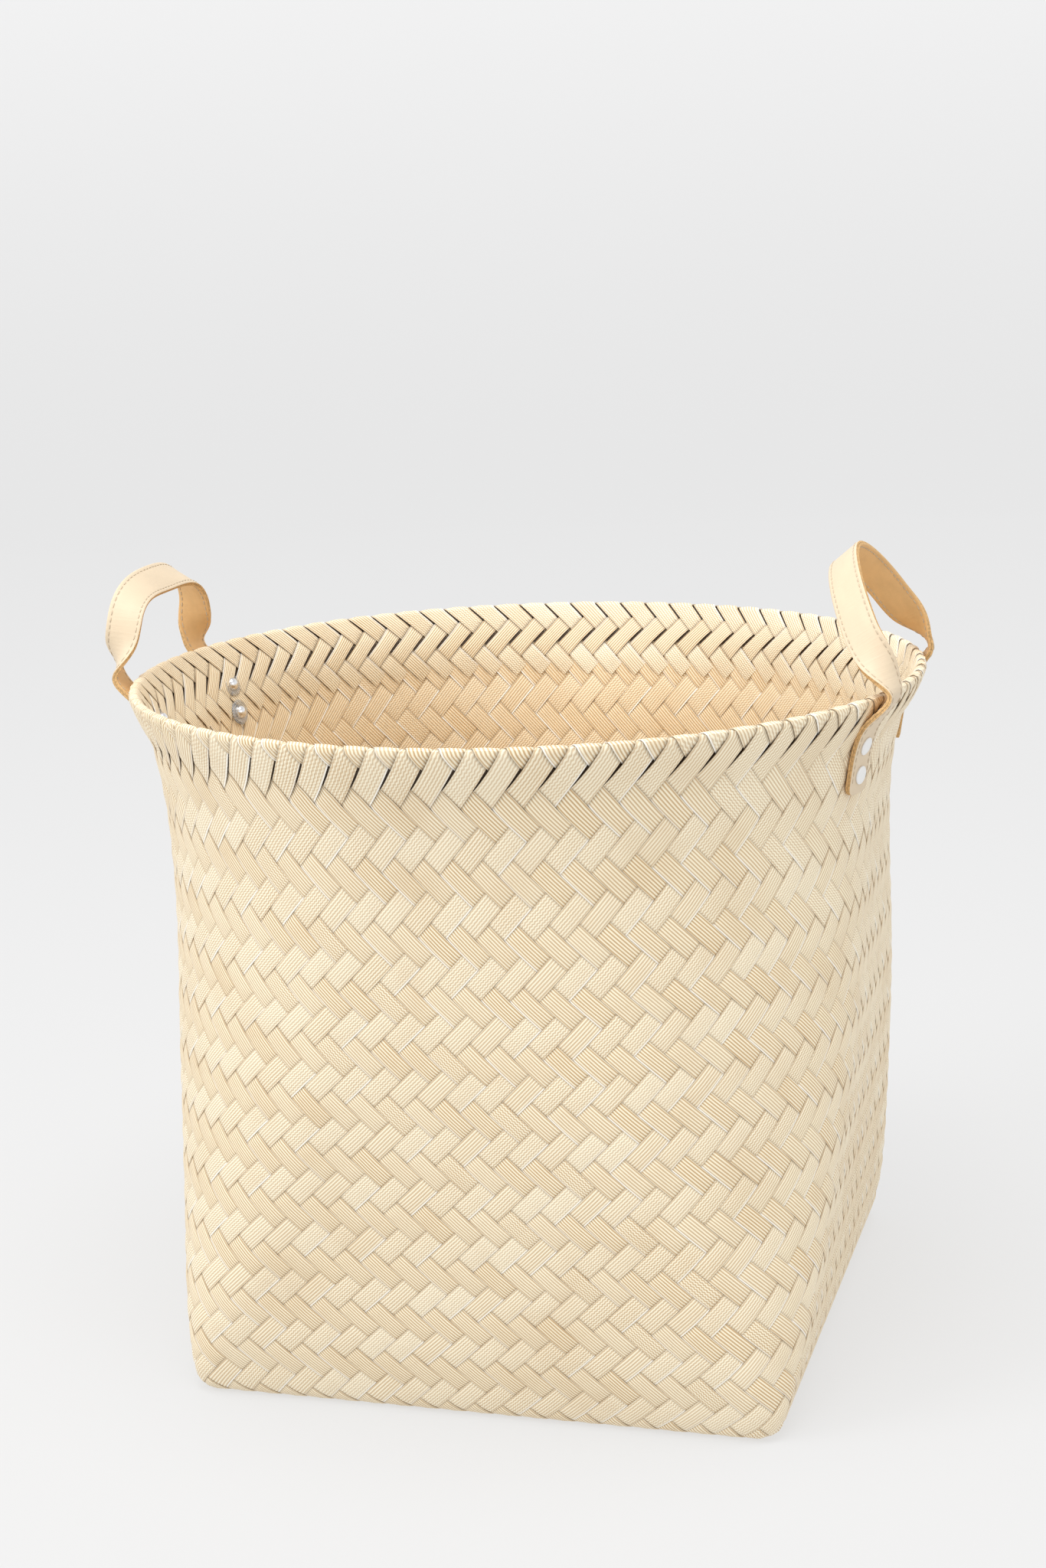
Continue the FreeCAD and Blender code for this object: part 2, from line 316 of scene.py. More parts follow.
def strip_finish(settings):
    """Extruded strip: fine lengthwise ribs, cream on the ribs and tan between them."""
    ribs = 7
    finish = Finish("ribbed_strip", specular_ior_level=0.42)
    uv = finish.node("ShaderNodeUVMap", {"uv_map": "strip"})
    across, along = finish.across_and_along(uv)
    tone = finish.value("tone")
    crinkle = finish.value("crinkle")
    edge_highlight = finish.value("edge_highlight")
    recess_shade = finish.value("recess_shade")
    wander = finish.noise(finish.stretched(uv, (1.4, 2.6, 1.0)), 1.0, detail=1.0) - 0.5
    drift = finish.noise(finish.stretched(uv, (0.6, 0.35, 1.0)), 1.0, detail=0.0) - 0.5
    zigzag = ((along + wander * 0.16) * (2 * math.pi * 5.2)).cosine()
    shift = (zigzag * 0.020 + wander * 0.05) * crinkle + drift * 0.08
    wave = ((across + shift) * (2 * math.pi * ribs)).cosine() * 0.5 + 0.5
    broken = finish.noise(finish.stretched(uv, (9.0, 1.1, 1.0)), 1.0, detail=2.0)
    rib = wave.ramp(0.10, 0.80) * (0.70 + broken * 0.6)
    body = finish.blend(rib.ramp(0.0, 1.0), settings.tan, settings.cream)
    # Paler with the strip's tone: partly random tone of the plastic, partly painted light that
    # makes one direction of strips look more brightly lit.
    pale = finish.blend(0.5, settings.cream, (1.0, 0.94, 0.78))
    body = finish.blend(tone * 0.45, body, pale)
    blotch = finish.noise(finish.place(), 34.0, detail=3.0)
    body = finish.blend(blotch.ramp(0.45, 0.75) * 0.16, body, settings.tan)
    from_edge = 0.5 - (across - 0.5).absolute()
    highlight_line = 1.0 - from_edge.ramp(0.03, 0.09)
    left_side = 1.0 - across.ramp(0.3, 0.5)
    # Painted shade: the inner faces of the strips are tinted darker and warmer, standing in for the
    # shade and warm bounce light inside the basket.
    body = finish.blend(finish.value("inside") * 0.22, body, (0.78, 0.48, 0.20))
    # Painted shade: a thin dark line along both edges of every strip, standing in for the shade in
    # the gaps between neighbouring strips.
    edge_shade = 1.0 - from_edge.ramp(0.0, 0.035)
    body = finish.blend(edge_shade * 0.5, body, (0.36, 0.20, 0.08))
    # Painted highlight: a pale line along one edge of some strips, standing in for light caught by
    # strip edges that lift.
    body = finish.blend(highlight_line * left_side * edge_highlight, body, (1.0, 0.96, 0.86))
    # Painted shade: the strip turns almost black where it passes under a crossing strip, standing
    # in for the deep shade in the gaps between strips.
    body = finish.blend(recess_shade.ramp(0.24, 0.92) * 0.95, body, (0.06, 0.03, 0.012))
    fine = finish.noise(finish.stretched(uv, (30.0, 4.0, 1.0)), 1.0, detail=3.0)
    height = wave * (0.75 + broken * 0.5) + fine * 0.15
    roughness = 0.40 + broken * 0.2
    return finish.finished(body, roughness, height, bump=0.00022, strength=0.85)


def strap_finish(name, colour, wear_colour, roughness):
    """Smooth coated sheet with a fine grain and soft creases across the strap."""
    finish = Finish(name, specular_ior_level=0.35)
    uv = finish.node("ShaderNodeUVMap", {"uv_map": "strap"})
    grain = finish.noise(finish.stretched(uv, (160.0, 160.0, 1.0)), 1.0, detail=3.0)
    mottle = finish.noise(finish.stretched(uv, (7.0, 3.0, 1.0)), 1.0, detail=4.0)
    crease = finish.noise(finish.stretched(uv, (2.0, 34.0, 1.0)), 1.0, detail=2.0)
    body = finish.blend(mottle.ramp(0.35, 0.75) * 0.5, colour, wear_colour)
    pores = grain.ramp(0.55, 0.8)
    body = finish.blend(pores * 0.12, body, [c * 0.55 for c in colour])
    height = grain * 0.35 + crease.ramp(0.3, 0.8) * 0.8 + mottle * 0.4
    return finish.finished(body, roughness + grain * 0.16, height, bump=0.00016, strength=0.5)


def edge_finish(colour):
    """Cut edge of the strap: two fibrous layers with a glue line between them."""
    finish = Finish("strap_cut_edge", specular_ior_level=0.2)
    fibre = finish.noise(finish.stretched(finish.place(), (900.0, 900.0, 900.0)), 1.0, detail=3.0)
    body = finish.blend(fibre.ramp(0.3, 0.7), [c * 0.62 for c in colour], colour)
    return finish.finished(body, 0.7 + fibre * 0.2, fibre, bump=0.0002, strength=0.6)


def thread_finish(colour):
    """Twisted thread."""
    finish = Finish("thread", specular_ior_level=0.3, sheen_weight=0.2)
    uv = finish.node("ShaderNodeUVMap", {"uv_map": "thread"})
    round_way, along = finish.across_and_along(uv)
    ply = ((round_way + along * 2.0) * (2 * math.pi * 3)).cosine() * 0.5 + 0.5
    # Painted shade: the thread is darker in the grooves between its plies.
    body = finish.blend(ply.ramp(0.0, 0.8), [c * 0.72 for c in colour], colour)
    return finish.finished(body, 0.55 + ply * 0.2, ply, bump=0.00012, strength=0.7)


def head_finish():
    """White moulded rivet head with faint scuffs."""
    finish = Finish("rivet_head_white", specular_ior_level=0.5)
    scuff = finish.noise(finish.place(), 900.0, detail=3.0)
    body = finish.blend(scuff.ramp(0.5, 0.8) * 0.3, (0.84, 0.84, 0.83), (0.70, 0.70, 0.69))
    return finish.finished(body, 0.28 + scuff * 0.16, scuff, bump=0.00005, strength=0.4)


def washer_finish():
    """Clear moulded disc."""
    finish = Finish("washer_clear", ior=1.46, transmission_weight=0.82, roughness=0.12)
    haze = finish.noise(finish.place(), 700.0, detail=2.0)
    body = finish.blend(haze, (0.93, 0.93, 0.93), (0.86, 0.86, 0.86))
    return finish.finished(body, 0.10 + haze * 0.14, haze, bump=0.00004, strength=0.4)


def cap_finish():
    """Polished metal cap with fine turning marks."""
    finish = Finish("cap_polished", metallic=1.0)
    marks = finish.noise(finish.stretched(finish.place(), (600.0, 600.0, 2600.0)), 1.0, detail=2.0)
    body = finish.blend(marks, (0.80, 0.80, 0.82), (0.90, 0.90, 0.91))
    return finish.finished(body, 0.12 + marks * 0.12, marks, bump=0.00002, strength=0.4)


def floor_finish(tone, glow):
    """Plain pale studio surface that gives a little light of its own."""
    finish = Finish("studio_pale", specular_ior_level=0.1, emission_strength=glow,
                    emission_color=(1.0, 1.0, 1.0, 1.0))
    cloud = finish.noise(finish.place(), 1.5, detail=2.0)
    height = finish.node("ShaderNodeSeparateXYZ", {}, {0: finish.place()}, output="Z")
    # Painted light: the backdrop is painted paler going up (0.38 of the tone against about 0.20 on
    # the floor), making up for the weaker light that reaches it, so floor and backdrop look evenly
    # bright.
    low = finish.blend(cloud, [c * 0.20 for c in tone], [c * 0.21 for c in tone])
    body = finish.blend(height.ramp(0.0, 1.6), low, [c * 0.38 for c in tone])
    return finish.finished(body, 0.8 + cloud * 0.1)


# ---------------------------------------------------------------- shapes

def outline_at(z):
    """Half width and corner radius of the wall at a height, smooth through OUTLINE."""
    rows = OUTLINE
    k = 0
    while k < len(rows) - 2 and z > rows[k + 1][0]:
        k += 1
    z0, z1 = rows[k][0], rows[k + 1][0]
    t = (z - z0) / (z1 - z0)

    def slope(i, column):
        low = max(i - 1, 0)
        high = min(i + 1, len(rows) - 1)
        return (rows[high][column] - rows[low][column]) / (rows[high][0] - rows[low][0])

    values = []
    for column in (1, 2):
        ends = rows[k][column], rows[k + 1][column]
        rises = slope(k, column) * (z1 - z0), slope(k + 1, column) * (z1 - z0)
        values.append(hermite(ends[0], rises[0], ends[1], rises[1], t))
    return values


def hermite(start, rise0, end, rise1, t):
    """Cubic from start to end with the given rises at its ends."""
    return (start * (2 * t**3 - 3 * t**2 + 1) + rise0 * (t**3 - 2 * t**2 + t)
            + end * (3 * t**2 - 2 * t**3) + rise1 * (t**3 - t**2))


def unit(vectors):
    """Rows scaled to length 1."""
    return vectors / np.linalg.norm(vectors, axis=-1, keepdims=True)


class Body:
    """Middle surface of the weave, in strip spacings round the basket and up it."""

    def __init__(self, settings):
        self.side = settings.strips_per_side
        self.rim_row = settings.rim_row
        self.profile(settings)

    def wall_run(self, low, high, inset, count):
        """Rows up the wall, moved in by inset."""
        heights = np.linspace(low, high, count)
        halves = np.array([outline_at(z)[0] for z in heights])
        flats = np.array([outline_at(z)[0] - outline_at(z)[1] for z in heights])
        along = unit(np.stack([np.gradient(halves), np.gradient(heights)], -1))
        return np.stack([halves - along[:, 1] * inset, heights + along[:, 0] * inset, flats], -1)

    def bridge(self, before, after, count, pull):
        """A smooth run between the end of one run and the start of the next."""
        start, end = before[-1], after[0]
        gap = np.linalg.norm((end - start)[:2])
        rise0 = unit(before[-1] - before[-2]) * gap * pull
        rise1 = unit(after[1] - after[0]) * gap * pull
        shares = np.linspace(0, 1, count + 2)[1:-1, None]
        return hermite(start, rise0, end, rise1, shares)

    def profile(self, settings):
        """Way of a strip's middle: base, bottom edge, wall, crest, and down the inside."""
        base_half = BASE_BOX[1][0]
        lift = settings.wave + settings.crown / 2 + settings.strip_thickness / 2
        turn = 0.0075
        floor_run = np.array([(half, lift, half) for half in np.linspace(0, base_half - turn, 60)])
        wall = self.wall_run(turn, ROLL_START, settings.depth, 160)
        floor_run[:, 2] = np.minimum(floor_run[:, 0], wall[0, 2])
        crown = np.array([RIM_RADIUS - RIM_HALF_THICKNESS, HEIGHT - RIM_HALF_THICKNESS])
        up = unit(crown - np.array(RIM_FOOT))
        out = np.array([up[1], -up[0]])
        reach = RIM_HALF_THICKNESS - settings.depth
        turns = np.linspace(0, math.pi, 25)[:, None]
        crest = crown + reach * (np.cos(turns) * out + np.sin(turns) * up)
        crest = np.hstack([crest, np.zeros((len(crest), 1))])
        fold_gap = 0.00145
        inside = self.wall_run(0.280, 0.318, settings.depth + fold_gap, 60)[::-1]
        edge_rows = 14
        runs = [floor_run, self.bridge(floor_run, wall, edge_rows, 1.35), wall,
                self.bridge(wall, crest, 40, 1.0), crest,
                self.bridge(crest, inside, 40, 1.0), inside]
        rows = np.vstack(runs)
        flats = rows[:, 2]
        top = np.argmax(rows[:, 1])
        high = rows[:, 1] > ROLL_START
        blend = np.clip((rows[:, 1] - ROLL_START) / (HEIGHT - ROLL_START), 0, 1)
        half, radius = outline_at(ROLL_START)
        flats[high] = (half - radius) * (1 - blend[high]) ** 2
        steps = np.linalg.norm(np.diff(rows[:, :2], axis=0), axis=1)
        self.lengths = np.concatenate([[0], np.cumsum(steps)])
        self.halves, self.heights, self.flats = rows[:, 0], rows[:, 1], flats
        self.crest_length = self.lengths[top]
        self.edge_length = self.lengths[len(floor_run) + edge_rows // 2]

    def length_at(self, v):
        """Length along the profile at v spacings above the base edge: rows open at the flare."""

        def opened(rows):
            flare = 0.0165 * np.maximum(rows - self.rim_row + 7.6, 0) ** 2
            return rows + flare + 0.2 * np.maximum(rows - self.rim_row + 1.9, 0) ** 2

        scale = (self.crest_length - self.edge_length) / opened(self.rim_row)
        wall = self.edge_length + scale * opened(np.minimum(v, self.rim_row))
        inside = np.maximum(v - self.rim_row, 0) * INSIDE_ROW
        base = self.edge_length * (1 + v / (self.side / 2))
        return np.where(v < 0, base, wall + inside)

    def settle(self, side, along, v):
        """Names each place by its own wall: side, spacings along it and spacings up it."""
        n = self.side
        u = side * n + along
        wall_side = np.floor(u / n)
        x = np.choose(side % 4, [along, n + v, n - along, -v])
        y = np.choose(side % 4, [-v, along, n + v, n - along])
        edges = np.stack([y, n - x, n - y, x])
        nearest = np.argmin(edges, axis=0)
        base_along = np.choose(nearest, [x, y, n - x, n - y])
        base_v = -np.min(edges, axis=0)
        on_wall = v >= 0
        return (np.where(on_wall, wall_side, nearest).astype(int),
                np.where(on_wall, u - wall_side * n, base_along),
                np.where(on_wall, v, base_v))

    def point(self, side, along, v):
        """Points of the middle surface."""
        n = self.side
        share = (along - n / 2) / np.maximum(n / 2 + np.minimum(v, 0), 1e-6)
        face_dip = 0.0015 * np.cos(2 * math.pi * along / n)
        dip = face_dip * np.sin(math.pi * np.clip(v / self.rim_row, 0, 1))
        length = self.length_at(v) + dip
        half, height, flat = (np.interp(length, self.lengths, column)
                              for column in (self.halves, self.heights, self.flats))
        radius = half - flat
        distance = np.abs(share) * (flat + math.pi / 4 * radius)
        turn = np.clip((distance - flat) / np.maximum(radius, 1e-9), 0, None)
        across = np.sign(share) * (np.minimum(distance, flat) + radius * np.sin(turn))
        out = flat + radius * np.cos(turn)
        angle = side * (math.pi / 2)
        return np.stack([across * np.cos(angle) + out * np.sin(angle),
                         across * np.sin(angle) - out * np.cos(angle), height], -1)

    def place(self, side, along, v):
        """Points and outward directions at any places on the basket."""
        side, along, v = self.settle(side, along, v)
        step = 0.02
        round_way = self.point(side, along + step, v) - self.point(side, along - step, v)
        up_way = self.point(side, along, v + step) - self.point(side, along, v - step)
        return self.point(side, along, v), unit(np.cross(round_way, up_way))


def crossing_is_outer(role, v):
    """Whether a strip is the outer one where it crosses another: 2/2 twill."""
    count = int(round(2 * v)) % 4
    rising_is_outer = count in (1, 2)
    return rising_is_outer == (role == "rising")


class StripRoute:
    """The way of one strip: down a wall, across the base round a corner, up the next wall."""

    def __init__(self, body, settings, number):
        self.body = body
        self.settings = settings
        self.gap = number + 0.5
        self.wall_steps = int(round(2 * settings.tuck_row))
        self.base_steps = 2 * number + 1
        self.steps = 2 * self.wall_steps + self.base_steps
        self.states = [self.state(k) for k in range(self.steps + 1)]

    def centre(self, t, across=0.0):
        """Side, spacings along it and spacings up it, t crossings from the start."""
        n = self.body.side
        first = t < self.wall_steps
        last = t > self.wall_steps + self.base_steps
        down = self.settings.tuck_row - 0.5 * t
        ground = 0.5 * (t - self.wall_steps)
        up = 0.5 * (t - self.wall_steps - self.base_steps)
        side = np.where(last, 1, 0)
        along = np.where(last, self.gap + up, n - self.gap + ground)
        along = np.where(first, n - self.gap - down, along)
        v = np.where(first, down, np.where(last, up, -ground))
        along = np.where(last, along - across / 2, along + across / 2)
        return side, along, v + across / 2

    def rows_up(self, t):
        """Spacings above the base edge, t crossings from the start; below 0 on the base."""
        return self.body.settle(*self.centre(t))[2]

    def state(self, k):
        """1 where the strip is outer at crossing k and -1 where it is inner."""
        side, along, v = self.centre(np.array([float(k)]))
        real_side, _, real_v = self.body.settle(side, along, v)
        if k <= self.wall_steps:
            role = "falling"
        elif k >= self.wall_steps + self.base_steps:
            role = "rising"
        else:
            role = "falling" if real_side[0] == 0 else "rising"
        return 1 if crossing_is_outer(role, real_v[0]) else -1

    def samples(self):
        """Where sections are cut: closer at a rise, the base edge and the crest."""
        marks = set()
        for k in range(self.steps):
            same = self.states[k] == self.states[k + 1]
            marks.update(k + s for s in ((0, 0.5) if same else (0, 0.3, 0.5, 0.7)))
        marks.add(self.steps)
        crest = 2 * (self.settings.tuck_row - self.settings.rim_row)
        for middle in (crest, self.wall_steps, self.wall_steps + self.base_steps,
                       self.steps - crest):
            marks = {m for m in marks if abs(m - middle) > 0.85}
            marks.update(middle + s for s in np.linspace(-0.85, 0.85, 17))
        return np.array(sorted(m for m in marks if 0 <= m <= self.steps))

    def heights(self, t):
        """Height of the strip's middle above the surface, in waves."""
        k = np.clip(np.floor(t).astype(int), 0, self.steps - 1)
        states = np.array(self.states, float)
        share = t - k
        ease = np.clip((share - 0.2) / 0.6, 0, 1)
        ease = ease * ease * (3 - 2 * ease)
        arch = np.where(states[k] == states[k + 1], 0.4 * np.sin(math.pi * share) ** 2, 0.0)
        return states[k] * (1 + arch) + (states[k + 1] - states[k]) * ease


def strip_mesh_parts(way, rng, crinkled):
    """Points, faces and point values of one strip; crinkled is the share with wavy ribs."""
    settings = way.settings
    body = way.body
    t = way.samples()
    columns = np.array([-0.5, -0.34, 0.0, 0.34, 0.5])
    v_middle = way.rows_up(t)
    from_rim = v_middle - body.rim_row
    share = 1 - settings.gap - settings.rim_gap * np.clip((from_rim + 1.4) / 0.9, 0, 1)
    share -= settings.rim_gap * np.exp(-((from_rim - 1.2) / 0.5) ** 2)
    across = columns * share[:, None]
    near_crest = np.clip((1.35 - np.abs(from_rim)) / 0.8, 0, 1)
    level = near_crest * near_crest * (3 - 2 * near_crest)
    spot = t[:, None] + np.where(t < way.steps / 2, 1, -1)[:, None] * across * level[:, None]
    point, normal = body.place(*way.centre(spot, across))
    wave = way.heights(spot)
    near_rim = np.exp(-((from_rim + 0.75) / 0.5) ** 2)[:, None]
    ends = np.minimum(t, way.steps - t)[:, None]
    height = settings.wave * wave * (1 + 0.8 * near_rim)
    height -= 0.0011 * (1 - np.clip(ends / 0.9, 0, 1)) ** 2
    height += (0.5 - (2 * columns) ** 2) * settings.crown * np.clip(wave, -0.4, 1)
    half_thickness = settings.strip_thickness / 2
    top = point + normal * (height + half_thickness)[..., None]
    bottom = point + normal * (height - half_thickness)[..., None]
    # Painted shade: how far each point is tucked under a crossing strip, which the material turns
    # into dark shade.
    recess_shade = np.concatenate([0.5 - 0.5 * wave, 0.5 + 0.5 * wave[:, ::-1]], axis=1)
    ring = np.concatenate([top, bottom[:, ::-1]], axis=1)
    count = ring.shape[1]
    rows = len(t)
    ring_across = np.concatenate([columns, columns[::-1]]) + 0.5
    ring_along = np.concatenate([spot, spot[:, ::-1]], axis=1) + rng.uniform(0, 50)
    uv = np.stack([np.broadcast_to(ring_across, (rows, count)), ring_along], -1)
    # Tone varies at random from strip to strip. On top of that, as painted light, the strips of the
    # two groups with mostly crinkled ribs (the / floats on the front wall) get the paler half, as
    # if they caught more light.
    tone = rng.uniform(0, 0.5) + 0.5 * (crinkled > 0.5)
    crinkle = rng.choice([0.0, 0.5, 1.0], p=[1 - crinkled, crinkled / 3, crinkled * 2 / 3])
    # Painted highlight: which strips get a pale line along one edge, and how strongly.
    edge_highlight = rng.choice([0.0, 0.5, 1.0], p=[0.5, 0.25, 0.25])
    values = np.tile([tone, crinkle, edge_highlight, 0.0, 0.0], (rows * count, 1))
    values[:, 3] = recess_shade.ravel()
    # Marks the points of the strip's inner face, which the material paints with warm shade.
    values[:, 4] = np.tile(np.arange(count) >= len(columns), rows)
    return ring.reshape(-1, 3), tube_faces(rows, count), uv.reshape(-1, 2), values


def tube_faces(rows, count, first=0):
    """Faces of a tube of rows of count points from the first one, with both its ends."""
    last = first + (rows - 1) * count
    start = np.arange(first, last, count)[:, None]
    near = np.arange(count)[None, :]
    far = (near + 1) % count
    quads = np.stack([start + near, start + count + near, start + count + far, start + far], -1)
    faces = [tuple(q) for q in quads.reshape(-1, 4).tolist()]
    faces.append(tuple(range(first, first + count)))
    faces.append(tuple(range(last + count - 1, last - 1, -1)))
    return faces


def add_mesh(name, points, faces, edges=()):
    """New object at the origin with its shape in its mesh."""
    mesh = bpy.data.meshes.new(name)
    mesh.from_pydata(np.asarray(points).tolist(), edges, faces)
    mesh.validate()
    made = bpy.data.objects.new(name, mesh)
    bpy.context.scene.collection.objects.link(made)
    return made


def set_uv(mesh, name, point_uv):
    """UV map from one pair of numbers per point."""
    layer = mesh.uv_layers.new(name=name)
    corners = np.zeros(len(mesh.loops), dtype=np.int32)
    mesh.loops.foreach_get("vertex_index", corners)
    layer.data.foreach_set("uv", np.asarray(point_uv, np.float32)[corners].ravel())


def choose(*objects):
    """Selects only these objects, the first one active."""
    bpy.ops.object.select_all(action="DESELECT")
    for each in objects:
        each.select_set(True)
    bpy.context.view_layer.objects.active = objects[0]


def smooth(made, degrees):
    """Smooth shading, with edges sharper than the angle kept crisp."""
    choose(made)
    bpy.ops.object.shade_smooth_by_angle(angle=math.radians(degrees))


def face_outwards(made):
    """Turns every face of a closed piece outwards."""
    choose(made)
    bpy.ops.object.mode_set(mode="EDIT")
    bpy.ops.mesh.select_all(action="SELECT")
    bpy.ops.mesh.normals_make_consistent(inside=False)
    bpy.ops.object.mode_set(mode="OBJECT")


class StrapLine:
    """Middle line of one strap with its width and outward directions, end to end."""

    def __init__(self, handle):
        self.handle = handle
        self.fit(*self.controls())

    def wall_frame(self, end, z):
        """Place, outward direction and width direction on the wall under a strap end."""
        azimuth = math.radians(end * self.handle["azimuth"])
        heights = (z - 0.001, z, min(z + 0.001, RIM_FOOT[1]))
        points = [wall_point(azimuth, height) for height in heights]
        for point, height in zip(points, heights):
            point[0] += self.handle["side"] * mouth_drift(height)
        up = unit(points[2] - points[0])
        facing = math.radians(end * (self.handle["azimuth"] - TAIL_TURN))
        width = np.array([-math.sin(facing), math.cos(facing), 0])
        return points[1], unit(np.cross(width, up)), width

    def loop_line(self, count):
        """Evenly spaced middle points of the loop in its own plane."""
        handle = self.handle
        angles = np.linspace(0, math.pi, 800)
        power = 2 / handle["power"]
        across = -np.sign(np.cos(angles)) * np.abs(np.cos(angles)) ** power * handle["spread"]
        up = handle["rise"] * np.maximum(np.sin(angles), 0) ** power
        steps = np.hypot(np.diff(across), np.diff(up))
        lengths = np.concatenate([[0], np.cumsum(steps)])
        even = np.linspace(0, lengths[-1], count)
        return np.interp(even, lengths, across), np.interp(even, lengths, up)

    def tail_rows(self, end):
        """Points and widths of one tail, flat against the wall, lowest first."""
        rows = []
        for z in TAIL_HEIGHTS:
            point, normal, width = self.wall_frame(end, z)
            rows.append((point + normal * (TAIL_GAP + STRAP_THICKNESS / 2), -end * width))
        return rows

    def controls(self):
        """Points and widths along the strap, from one end to the other."""
        handle = self.handle
        rows = self.tail_rows(-1)
        lean = math.radians(handle["lean"])
        up = np.array([-math.sin(lean), 0, math.cos(lean)])
        out = np.array([math.cos(lean), 0, math.sin(lean)])
        hinge = np.array([abs(handle["hinge"][0]), 0, handle["hinge"][2]])
        ys, ups = self.loop_line(25)
        line = hinge + ys[:, None] * np.array([0, 1, 0]) + ups[:, None] * up
        last = len(line) - 1
        for k, point in enumerate(line):
            tangent = unit(line[min(k + 1, last)] - line[max(k - 1, 0)])
            if k in (0, last):
                tangent = up if k == 0 else -up
            away = unit(np.cross(out, tangent))
            twist = math.radians(strap_twist(k / last, handle["apex_twist"]))
            width = out * math.cos(twist) - away * math.sin(twist)
            bulge = STRAP_BULGE * max(0.0, 1 - min(k, last - k) / 4)
            rows.append((point + np.array([bulge, 0, 0]), width))
        rows += reversed(self.tail_rows(1))
        return (np.array([row[i] for row in rows]) for i in range(2))

    def fit(self, points, widths):
        """A smooth line near the control rows, evenly cut."""
        fine = 6
        points, widths = spline(points, fine), spline(widths, fine)
        side = self.handle["side"]
        turn = np.array([side, side, 1])
        steps = np.linalg.norm(np.diff(points, axis=0), axis=1)
        self.lengths = np.concatenate([[0], np.cumsum(steps)])
        self.length = self.lengths[-1]
        self.points = points * turn
        tangents = unit(np.gradient(self.points, axis=0))
        widths = widths * turn
        widths = unit(widths - tangents * np.sum(widths * tangents, -1, keepdims=True))
        self.widths = widths
        self.normals = unit(np.cross(widths, tangents))

    def at(self, lengths):
        """Point, width and normal at lengths along the strap."""
        found = []
        for rows in (self.points, self.widths, self.normals):
            columns = [np.interp(lengths, self.lengths, rows[:, i]) for i in range(3)]
            found.append(np.stack(columns, -1))
        return found[0], unit(found[1]), unit(found[2])


def wall_point(azimuth, z):
    """Point on the outside of the wall, at an angle from the X axis."""
    half, radius = outline_at(z)
    flat = half - radius
    along = np.array([math.cos(azimuth), math.sin(azimuth)])
    centre = np.array([flat, math.copysign(flat, azimuth)])
    reach = along @ centre
    distance = reach + math.sqrt(reach**2 - centre @ centre + radius**2)
    return np.array([*(along * distance), z])


def mouth_drift(z):
    """How far the wall's middle line has moved along X at a height."""
    share = np.clip((z - SHIFT_START) / (RIM_FOOT[1] - SHIFT_START), 0, 1)
    return MOUTH_SHIFT * share * share * (3 - 2 * share)


def strap_twist(share, apex_twist):
    """Turn of the strap about its own line: flat to the wall at the ends, on edge above."""
    ease = min(min(share, 1 - share) / TWIST_SHARE, 1.0)
    ease = ease * ease * (3 - 2 * ease)
    return 90 * (1 - ease) + apex_twist * math.sin(math.pi * share) ** 2


def spline(rows, fine):
    """Uniform cubic B-spline near the rows, from the first row to the last."""
    before = 2 * rows[0] - rows[1]
    after = 2 * rows[-1] - rows[-2]
    rows = np.vstack([before, rows, after])
    out = []
    for k in range(len(rows) - 3):
        for t in np.arange(fine) / fine:
            weights = np.array([(1 - t) ** 3, 3 * t**3 - 6 * t**2 + 4,
                                -3 * t**3 + 3 * t**2 + 3 * t + 1, t**3]) / 6
            out.append(weights @ rows[k:k + 4])
    out.append(np.array([1, 4, 1]) @ rows[-3:] / 6)
    return np.array(out)


def strap_layer(way, settings, name, layer):
    """One layer of a strap: a long closed sheet with soft edges and rounded ends."""
    thickness = settings.layer_thickness
    inner = GLUE_GAP if layer == "face" else -GLUE_GAP - thickness
    outer = inner + thickness
    corner = 0.0045
    ends = corner * (1 - np.cos(np.linspace(0.15, math.pi / 2, 7)))
    middle = np.linspace(ends[-1], way.length - ends[-1], 150)
    lengths = np.concatenate([ends[:-1], middle, way.length - ends[:-1][::-1]])
    near = np.minimum(lengths, way.length - lengths)
    pulled = np.clip(near, 0, corner)
    half = settings.width / 2 - corner + np.sqrt(corner**2 - (corner - pulled) ** 2)
    soft = 0.00028
    groove = settings.stitch_inset
    outward = 1 if layer == "face" else -1
    show = outer if layer == "face" else inner
    back = inner if layer == "face" else outer
    shown = [(0.0, -soft), (soft, -soft * 0.25), (groove * 0.55, 0.0), (groove, -0.00016),
             (groove * 1.5, 0.0)]
    point, width, normal = way.at(lengths)
    left = [(-1, inset, show + outward * rise) for inset, rise in shown]
    right = [(1, inset, height) for _, inset, height in reversed(left)]
    columns = [*left, (-1, None, show), (1, None, show), *right, (1, 0.0, back), (-1, 0.0, back)]
    ring = []
    sides = []
    for hand, inset, height in columns:
        reach = half / 3 if inset is None else np.maximum(half - inset, half * 0.05)
        ring.append(point + width * (hand * reach)[:, None] + normal * height)
        sides.append(hand * reach)
    ring = np.stack(ring, 1)
    sides = np.stack(sides, 1)
    rows, count = ring.shape[:2]
    made = add_mesh(name, ring.reshape(-1, 3), tube_faces(rows, count))
    uv = np.stack([sides.ravel() * 20, np.repeat(lengths, count) * 20], -1)
    set_uv(made.data, "strap", uv)
    face_outwards(made)
    smooth(made, 50)
    return made, count


